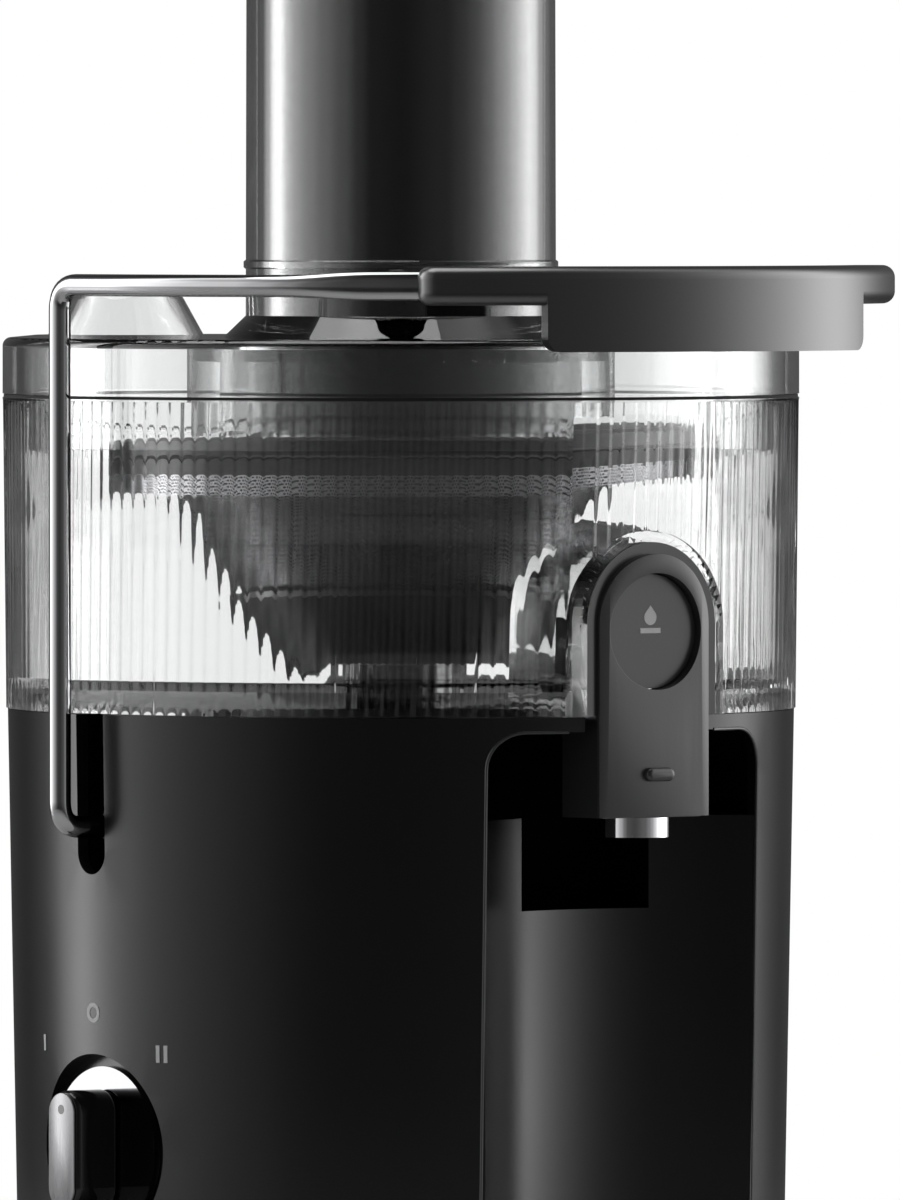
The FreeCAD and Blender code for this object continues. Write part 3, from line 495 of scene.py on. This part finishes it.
def tear_point(distance, radius):
    """The point and outward normal at a share of the way round the bowl, from its right-hand tangent."""
    lean = math.asin((radius - REAR_RADIUS) / REAR_CENTRE)
    front = radius * (math.pi + 2 * lean)
    straight = REAR_CENTRE * math.cos(lean)
    back = REAR_RADIUS * (math.pi - 2 * lean)
    whole = front + 2 * straight + back
    travelled = distance * whole
    if travelled < front:
        angle = lean - travelled / radius
        normal = Vector((math.cos(angle), math.sin(angle)))
        return normal * radius, normal
    travelled -= front
    left = Vector((-math.cos(lean), math.sin(lean)))
    if travelled < straight:
        start = left * radius
        end = Vector((0, REAR_CENTRE)) + left * REAR_RADIUS
        return start.lerp(end, travelled / straight), left
    travelled -= straight
    if travelled < back:
        angle = math.pi - lean - travelled / REAR_RADIUS
        normal = Vector((math.cos(angle), math.sin(angle)))
        return Vector((0, REAR_CENTRE)) + normal * REAR_RADIUS, normal
    travelled -= back
    right = Vector((math.cos(lean), math.sin(lean)))
    start = Vector((0, REAR_CENTRE)) + right * REAR_RADIUS
    return start.lerp(right * radius, min(travelled / straight, 1)), right


def flute_cutter():
    """A sleeve round the bowl whose inside is a row of shallow upright hollows."""
    around = FLUTE_COUNT * FLUTE_STEPS
    loops = []
    for height, radius, outer in (
        (BOWL_LOW.z - 0.002, BOWL_FOOT_RADIUS, False), (BOWL_HIGH.z - 0.0006, BOWL_HEAD_RADIUS, False),
        (BOWL_HIGH.z - 0.0006, BOWL_HEAD_RADIUS, True), (BOWL_LOW.z - 0.002, BOWL_FOOT_RADIUS, True),
    ):
        loop = []
        for n in range(around):
            spot, normal = tear_point(n / around, radius)
            hollow = WALL_TRIM + FLUTE_DEPTH * (0.5 - 0.5 * math.cos(2 * math.pi * n / FLUTE_STEPS))
            spot = spot + normal * (0.006 if outer else -hollow)
            loop.append((spot.x, spot.y, height))
        loops.append(loop)
    bm = bmesh.new()
    bridge_rings(bm, [[bm.verts.new(spot) for spot in loop] for loop in loops], closed=True)
    return tool_object("flute_cutter", bm)


def tool_object(name, bm):
    bmesh.ops.recalc_face_normals(bm, faces=bm.faces)
    mesh = bpy.data.meshes.new(name)
    bm.to_mesh(mesh)
    bm.free()
    tool = bpy.data.objects.new(name, mesh)
    scene.collection.objects.link(tool)
    return tool


def arch_block(name, half, front, back, low):
    """A block with a half-round top, standing across Y at the spout."""
    outline = [(half, low)]
    for n in range(65):
        angle = math.pi * n / 64
        outline.append((half * math.cos(angle), ARCH_HEIGHT + half * math.sin(angle)))
    outline.append((-half, low))
    bm = bmesh.new()
    add_plate(bm, outline, lambda u, v, lift: Vector((u, -back - lift, v)), front - back)
    return tool_object(name, bm)


def boolean(target, tool, operation="DIFFERENCE"):
    """Apply a boolean to the target's mesh and throw the tool away."""
    modifier = target.modifiers.new("cut", "BOOLEAN")
    modifier.operation = operation
    modifier.solver = "EXACT"
    modifier.object = tool
    bpy.context.view_layer.update()
    graph = bpy.context.evaluated_depsgraph_get()
    result = bpy.data.meshes.new_from_object(target.evaluated_get(graph))
    target.modifiers.clear()
    target.data = result
    bpy.data.objects.remove(tool)


def make_fluted_bowl():
    cutter = flute_cutter()
    boolean(cutter, arch_block("boss_guard", BOSS_HALF + 0.0002, 0.13, 0.09, BOWL_LOW.z - 0.004))
    blank = tool_object("bowl_blank", clean_copy("juice_collector"))
    boolean(blank, cutter)
    bm = bmesh.new()
    bm.from_mesh(blank.data)
    bpy.data.objects.remove(blank)
    bmesh.ops.remove_doubles(bm, verts=bm.verts, dist=WELD)
    bmesh.ops.dissolve_degenerate(bm, dist=WELD, edges=bm.edges)
    piece = finish_mesh("fluted_bowl", bm, MATERIALS["clear_bowl"], "collector", smooth=32)
    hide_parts("juice_collector")


make_fluted_bowl()

# ---- softened copies of the pieces with sharp moulded edges ----

softened("spout_cover", 0.0006, MATERIALS["spout_plastic"], "collector", 3)
softened("knob_grip", 0.0015, MATERIALS["knob_plastic"], "knob", 4)
softened("knob_insert", 0.00035, MATERIALS["insert_silver"], "knob", 2)
softened("pulp_container", 0.0008, MATERIALS["container_plastic"], "pulp_bin", 2)
softened("base_plate", 0.0006, MATERIALS["base_plastic"], "base", 2)
softened("pusher_cap", 0.0006, MATERIALS["pusher_gloss"], "pusher", 3)

# ---- bail: rods that flatten towards the handle, and the rings that they turn in ----

BAIL_LOW, BAIL_HIGH = (Vector(c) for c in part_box("bail_rod_left"))
BUSH_LOW, BUSH_HIGH = (Vector(c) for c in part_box("pivot_bush_left"))
ROD_RADIUS = 0.003
ROD_BEND = 0.007
ROD_SIDES = 32
ROD_TIP_HALF_HEIGHT = 0.0039
ROD_TIP_HALF_WIDTH = 0.0021
PIVOT_HEIGHT = (BUSH_LOW.z + BUSH_HIGH.z) / 2


def rod_corners(side):
    """The rod's middle line: up the leg from the pivot, then forward to the handle."""
    reach = -BAIL_LOW.x - ROD_RADIUS
    high = BAIL_HIGH.z - ROD_RADIUS
    plan = ((0.002, -0.042), (0.014, -0.080), (0.031, -0.103), (0.0572, -0.1213))
    corners = [
        Vector((side * (reach - 0.027), 0, PIVOT_HEIGHT)),
        Vector((side * reach, 0, PIVOT_HEIGHT)),
        Vector((side * reach, 0, high)),
    ]
    return corners + [Vector((side * (reach - inward), y, high)) for inward, y in plan]


def rounded_path(corners, bend, steps=10):
    """Points along straight runs joined by arcs; a shallow corner gets as wide an arc as its runs allow."""
    points = [corners[0]]
    for before, corner, after in zip(corners, corners[1:], corners[2:]):
        arrive = (corner - before).normalized()
        leave = (after - corner).normalized()
        half_turn = arrive.angle(leave) / 2
        room = min((corner - before).length, (after - corner).length) * 0.47
        setback = min(bend * math.tan(half_turn) if half_turn > 0.5 else room, room)
        first = corner - arrive * setback
        last = corner + leave * setback
        for n in range(steps + 1):
            t = n / steps
            points.append(first * (1 - t) ** 2 + corner * 2 * t * (1 - t) + last * t * t)
    points.append(corners[-1])
    return points


def make_rod(label, side):
    points = rounded_path(rod_corners(side), ROD_BEND)
    bm = bmesh.new()
    rings = []
    for n, spot in enumerate(points):
        ahead = points[min(n + 1, len(points) - 1)] - points[max(n - 1, 0)]
        ahead.normalize()
        flat = max(0.0, min(1.0, (-spot.y - 0.078) / 0.022))
        flat = flat * flat * (3 - 2 * flat)
        wide = ROD_RADIUS + (ROD_TIP_HALF_WIDTH - ROD_RADIUS) * flat
        tall = ROD_RADIUS + (ROD_TIP_HALF_HEIGHT - ROD_RADIUS) * flat
        outward = Vector((0, 1, 0)) if abs(ahead.y) < 0.3 else Vector((ahead.y, -ahead.x, 0)).normalized()
        upward = ahead.cross(outward).normalized()
        ring = []
        for k in range(ROD_SIDES):
            angle = 2 * math.pi * k / ROD_SIDES
            across = outward * (wide * math.cos(angle))
            ring.append(bm.verts.new(spot + across + upward * (tall * math.sin(angle))))
        if rings:
            shift = min(range(ROD_SIDES), key=lambda m: (ring[m].co - rings[-1][0].co).length)
            straight = ring[shift:] + ring[:shift]
            backward = [straight[0]] + straight[:0:-1]
            ring = min((straight, backward), key=lambda r: (r[8].co - rings[-1][8].co).length)
        rings.append(ring)
    bridge_rings(bm, rings)
    bm.faces.new(rings[0][::-1])
    bm.faces.new(rings[-1])
    piece = finish_mesh(f"rod_{label}", bm, MATERIALS["chrome_rod"], "bail")
    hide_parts(f"bail_rod_{label}")


def make_pivot_ring(label, side):
    """A rounded lip round the hole that the rod's end turns in."""
    face = side * -BUSH_LOW.x
    profile = [
        (0.0044 + 0.0009 * math.cos(a), 0.0009 * math.sin(a))
        for a in (2 * math.pi * n / 12 for n in range(12))
    ]
    bm = bmesh.new()
    add_lathe(bm, profile, (face, 0, PIVOT_HEIGHT), Vector((side, 0, 0)), 48)
    finish_mesh(f"pivot_ring_{label}", bm, MATERIALS["knob_plastic"], "base")


for rod_label, rod_side in (("left", -1), ("right", 1)):
    make_rod(rod_label, rod_side)
    make_pivot_ring(rod_label, rod_side)

# ---- printed marks ----

PRINT_LIFT = 0.00012


def on_housing(y, z, lift):
    """A point on the left side of the tapered housing, a lift above its surface."""
    rise = (z - HOUSING_LOW.z) / (HOUSING_HIGH.z - HOUSING_LOW.z)
    radius = HOUSING_FOOT_RADIUS + (HOUSING_HEAD_RADIUS - HOUSING_FOOT_RADIUS) * rise + lift - 0.00004
    return Vector((-math.sqrt(radius * radius - y * y), y, z))


def bar(half_width, half_height, centre):
    """An upright bar's outline."""
    corners = ((1, 1), (-1, 1), (-1, -1), (1, -1))
    return [(centre[0] + sx * half_width, centre[1] + sz * half_height) for sx, sz in corners]


def make_marks():
    """A ring, one bar and two bars round the dial, printed on the housing."""
    bm = bmesh.new()
    ring_centre = (0, 0.1039)
    outer = circle(0.0027, centre=ring_centre)
    inner = circle(0.0016, centre=ring_centre)
    add_band(bm, outer, inner, on_housing, PRINT_LIFT)
    add_plate(bm, bar(0.0006, 0.0022, (0.026, 0.0949)), on_housing, PRINT_LIFT)
    for side in (-1, 1):
        add_plate(bm, bar(0.0006, 0.00235, (-0.026 + side * 0.0013, 0.0934)), on_housing, PRINT_LIFT)
    finish_mesh("speed_marks", bm, PRINT_GREY, "base")


def on_button(u, v, lift):
    return Vector((u, BUTTON_LOW.y - lift + 0.00003, v))


def make_drop_icon():
    """A drop over a bar, printed on the drip stop's button."""
    middle = (BUTTON_LOW.z + BUTTON_HIGH.z) / 2
    radius = 0.0021
    belly = middle + 0.0038
    tip = (0, middle + 0.007)
    outline = [tip] + [
        (radius * math.sin(a), belly - radius * math.cos(a))
        for a in (math.radians(-125 + 250 * n / 32) for n in range(33))
    ][::-1]
    bm = bmesh.new()
    add_plate(bm, outline, on_button, PRINT_LIFT)
    add_plate(bm, bar(0.0035, 0.0007, (0, middle + 0.0002)), on_button, PRINT_LIFT)
    finish_mesh("drop_icon", bm, PRINT_WHITE, "drip_stop")


make_marks()
make_drop_icon()

# ---- small moulded details ----


def make_cover_bump():
    """A raised pill under the button, to feel where the spout's end is."""
    centre = (0, COVER_LOW.z + 0.0115)
    rings = []
    bm = bmesh.new()
    for inset, lift in ((0, -0.0002), (0, 0.0009), (0.0002, 0.0014), (0.0007, 0.0018), (0.0013, 0.0019)):
        outline = stadium(0.003, 0.00185 - inset, centre=centre)
        rings.append([bm.verts.new((u, COVER_LOW.y - lift, v)) for u, v in outline])
    bridge_rings(bm, rings)
    bm.faces.new(rings[0][::-1])
    bm.faces.new(rings[-1])
    finish_mesh("cover_bump", bm, MATERIALS["spout_plastic"], "collector")


RECESS_HALF = 0.0472
RECESS_CORNER = 0.010
RECESS_TOP = 0.181


def on_front(x, z):
    """A point on the front of the tapered housing."""
    rise = (z - HOUSING_LOW.z) / (HOUSING_HIGH.z - HOUSING_LOW.z)
    radius = HOUSING_FOOT_RADIUS + (HOUSING_HEAD_RADIUS - HOUSING_FOOT_RADIUS) * rise - 0.0002
    return Vector((x, -math.sqrt(radius * radius - x * x), z))


def sweep_round(bm, points, radius, count=10):
    """A round bead along a line of points, closed at both ends."""
    rings = []
    for n, spot in enumerate(points):
        ahead = (points[min(n + 1, len(points) - 1)] - points[max(n - 1, 0)]).normalized()
        side = ahead.cross(Vector((0, -1, 0.02))).normalized()
        up = side.cross(ahead).normalized()
        steps = [2 * math.pi * k / count for k in range(count)]
        ring = [spot + side * radius * math.cos(a) + up * radius * math.sin(a) for a in steps]
        rings.append([bm.verts.new(place) for place in ring])
    bridge_rings(bm, rings)
    bm.faces.new(rings[0][::-1])
    bm.faces.new(rings[-1])


def make_recess_lip():
    """The fine rounded lip round the opening of the jug recess."""
    side = [(RECESS_HALF, HOUSING_LOW.z + 0.001 + n * 0.008) for n in range(20)]
    straight_top = RECESS_TOP - RECESS_CORNER
    right = [(x, z) for x, z in side if z < straight_top]
    corner = []
    for n in range(9):
        angle = math.radians(90 * n / 8)
        corner.append((
            RECESS_HALF - RECESS_CORNER * (1 - math.cos(angle)),
            straight_top + RECESS_CORNER * math.sin(angle),
        ))
    half = right + corner
    top = [(RECESS_HALF - RECESS_CORNER - n * 0.006, RECESS_TOP) for n in range(1, 3)]
    for label, sign in (("left", -1), ("right", 1)):
        bm = bmesh.new()
        sweep_round(bm, [on_front(sign * x, z) for x, z in half + top], 0.0005)
        finish_mesh(f"recess_lip_{label}", bm, MATERIALS["spout_plastic"], "base")


def make_lid_ribs():
    """A ring of short ribs under the lid between its two circular walls."""
    count = 40
    bm = bmesh.new()
    top = LID_PLATE_TOP - 0.0026
    for n in range(count):
        turn = Matrix.Rotation(2 * math.pi * n / count, 4, "Z")
        shape = bmesh.ops.create_cube(bm, size=1.0)["verts"]
        stretch = Matrix.Diagonal((0.0074, 0.0012, 0.004, 1))
        bmesh.ops.transform(
            bm, verts=shape, matrix=turn @ Matrix.Translation((0.0535, 0, top - 0.002)) @ stretch
        )
    bmesh.ops.bevel(
        bm, geom=bm.edges[:], offset=0.0003, segments=2, affect="EDGES", profile=0.5, clamp_overlap=True
    )
    finish_mesh("lid_ribs", bm, MATERIALS["clear_lid"], "lid")


def make_chute_ring():
    """A fine raised line round the chute above its foot."""
    radius = 0.04276
    level = LID_PLATE_TOP + 0.020
    profile = [
        (radius, level - 0.0012), (radius + 0.0005, level - 0.0008),
        (radius + 0.0005, level + 0.0008), (radius, level + 0.0012), (radius - 0.0001, level),
    ]
    bm = bmesh.new()
    add_lathe(bm, profile, segments=160)
    finish_mesh("chute_line", bm, MATERIALS["clear_lid"], "lid")


def make_grating_teeth():
    """Rows of small teeth that stand up from the grating disc."""
    bm = bmesh.new()
    level = DISC_LOW.z + 0.001
    for ring, radius in enumerate((0.012, 0.017, 0.022, 0.027, 0.032, 0.037)):
        count = round(2 * math.pi * radius / 0.0055)
        for n in range(count):
            angle = 2 * math.pi * (n + 0.5 * (ring % 2)) / count
            turn = Matrix.Rotation(angle, 4, "Z") @ Matrix.Translation((radius, 0, level + 0.0007))
            bmesh.ops.create_cone(
                bm, cap_ends=True, segments=4, radius1=0.0012, radius2=0.0002, depth=0.0016, matrix=turn
            )
    finish_mesh("grating_teeth", bm, MATERIALS["bright_steel"], "basket")


def make_insert_dot():
    """The small round mark near the top of the knob's insert."""
    level = INSERT_HIGH.z - 0.0045
    bm = bmesh.new()
    outline = circle(0.0013, 32, (0, level))
    add_plate(bm, outline, lambda u, v, lift: Vector((INSERT_LOW.x - lift + 0.0001, u, v)), 0.00015)
    finish_mesh("insert_dot", bm, MATERIALS["knob_plastic"], "knob")


make_cover_bump()
make_recess_lip()
make_lid_ribs()
make_chute_ring()
make_grating_teeth()
make_insert_dot()

# ---- light and floor ----

BACKDROP = 1.0
LEFT_SIDE = ((0, 0.06), (22, 0.08), (32, 0.18), (45, 0.45), (60, 0.8), (75, 1.3), (90, 2.1), (100, 3.4),
             (109, 6.5), (117, 2.5), (126, 0.3), (145, 0.08), (180, 0.08))
RIGHT_SIDE = ((0, 0.06), (35, 0.12), (48, 0.22), (60, 0.4), (70, 0.75), (84, 1.5), (95, 2.3), (107, 3.2),
              (118, 3.6), (128, 1.5), (138, 0.3), (152, 0.1), (180, 0.08))
BRIGHTEST = 9.0


def ramp(tree, fac, stops, top):
    """A smooth curve through (place, value) stops, both scaled to run from 0 to 1 inside the node."""
    node = add(tree, "ShaderNodeValToRGB")
    node.color_ramp.interpolation = "EASE"
    elements = node.color_ramp.elements
    last = stops[-1][0]
    for place, value in stops[1:-1]:
        elements.new(place / last)
    for element, (place, value) in zip(elements, stops):
        element.color = (value / top, value / top, value / top, 1)
    join(tree, fac, node.inputs["Fac"])
    return math_node(tree, "MULTIPLY", node.outputs["Color"], top)


def make_world():
    """White behind the object, and in its reflections two tall soft lights that fade towards the front."""
    world = bpy.data.worlds.new("studio")
    world.use_nodes = True
    scene.world = world
    tree = world.node_tree
    background = tree.nodes["Background"]
    direction = add(tree, "ShaderNodeTexCoord").outputs["Generated"]
    flat = add(tree, "ShaderNodeVectorMath", operation="MULTIPLY")
    flat.inputs[1].default_value = (1, 1, 0)
    join(tree, direction, flat.inputs[0])
    unit = add(tree, "ShaderNodeVectorMath", operation="NORMALIZE")
    join(tree, flat.outputs[0], unit.inputs[0])
    facing = add(tree, "ShaderNodeVectorMath", operation="DOT_PRODUCT")
    facing.inputs[1].default_value = TO_CAMERA
    join(tree, unit.outputs[0], facing.inputs[0])
    sideways = add(tree, "ShaderNodeVectorMath", operation="DOT_PRODUCT")
    sideways.inputs[1].default_value = TO_RIGHT
    join(tree, unit.outputs[0], sideways.inputs[0])
    held = math_node(tree, "MINIMUM", math_node(tree, "MAXIMUM", facing.outputs["Value"], -1.0), 1.0)
    angle = math_node(tree, "DIVIDE", math_node(tree, "ARCCOSINE", held), math.pi)
    left = ramp(tree, angle, LEFT_SIDE, BRIGHTEST)
    right = ramp(tree, angle, RIGHT_SIDE, BRIGHTEST)
    on_right = math_node(tree, "GREATER_THAN", sideways.outputs["Value"], 0.0)
    pick = add(tree, "ShaderNodeMix", data_type="FLOAT")
    join(tree, on_right, pick.inputs[0])
    join(tree, left, pick.inputs[2])
    join(tree, right, pick.inputs[3])
    parts = add(tree, "ShaderNodeSeparateXYZ")
    join(tree, direction, parts.inputs[0])
    rise = math_node(tree, "MULTIPLY_ADD", parts.outputs["Z"], 0.5)
    rise.node.inputs[2].default_value = 0.5
    fall = ramp(tree, rise, ((0, 0.2), (0.38, 0.35), (0.5, 1.0), (0.72, 0.9), (0.88, 0.35), (1.0, 0.3)), 1.0)
    lit = math_node(tree, "MULTIPLY", pick.outputs[0], fall)
    path = add(tree, "ShaderNodeLightPath")
    diffuse = math_node(tree, "MULTIPLY", path.outputs["Is Diffuse Ray"], 0.6)
    dimmed = math_node(tree, "SUBTRACT", 1.0, diffuse)
    lit = math_node(tree, "MULTIPLY", lit, dimmed)
    bounced = math_node(tree, "ADD", path.outputs["Glossy Depth"], path.outputs["Diffuse Depth"])
    seen = math_node(tree, "LESS_THAN", bounced, 0.5)
    final = add(tree, "ShaderNodeMix", data_type="FLOAT")
    join(tree, seen, final.inputs[0])
    join(tree, lit, final.inputs[2])
    final.inputs[3].default_value = BACKDROP
    join(tree, final.outputs[0], background.inputs["Strength"])
    background.inputs["Color"].default_value = (1, 1, 1, 1)


def make_top_light():
    """A broad soft light overhead."""
    data = bpy.data.lights.new("top_light", "AREA")
    data.shape = "DISK"
    data.size = 1.2
    data.energy = 9
    light = bpy.data.objects.new("top_light", data)
    light.location = (-0.2, 0.2, 1.7)
    light.visible_camera = False
    light.visible_transmission = False
    scene.collection.objects.link(light)


def make_floor():
    """A pale round floor that fades out before its edge."""
    bm = bmesh.new()
    bmesh.ops.create_circle(bm, cap_ends=True, segments=96, radius=0.85)
    mesh = bpy.data.meshes.new("floor")
    bm.to_mesh(mesh)
    bm.free()
    floor = bpy.data.objects.new("floor", mesh)
    floor.location.z = -0.0002
    scene.collection.objects.link(floor)
    material, tree, shader, position = new_material("floor_paper", (0.86, 0.86, 0.86), 0.6)
    bump(tree, shader, noise(tree, position, 400), 0.00005)
    length = add(tree, "ShaderNodeVectorMath", operation="LENGTH")
    join(tree, position, length.inputs[0])
    fade = add(tree, "ShaderNodeMapRange", interpolation_type="SMOOTHSTEP")
    fade.inputs["From Min"].default_value = 0.3
    fade.inputs["From Max"].default_value = 0.84
    fade.inputs["To Min"].default_value = 1.0
    fade.inputs["To Max"].default_value = 0.0
    join(tree, length.outputs["Value"], fade.inputs["Value"])
    join(tree, fade.outputs["Result"], shader.inputs["Alpha"])
    mesh.materials.append(material)


make_world()
make_top_light()
make_floor()
scene.view_settings.view_transform = "Standard"
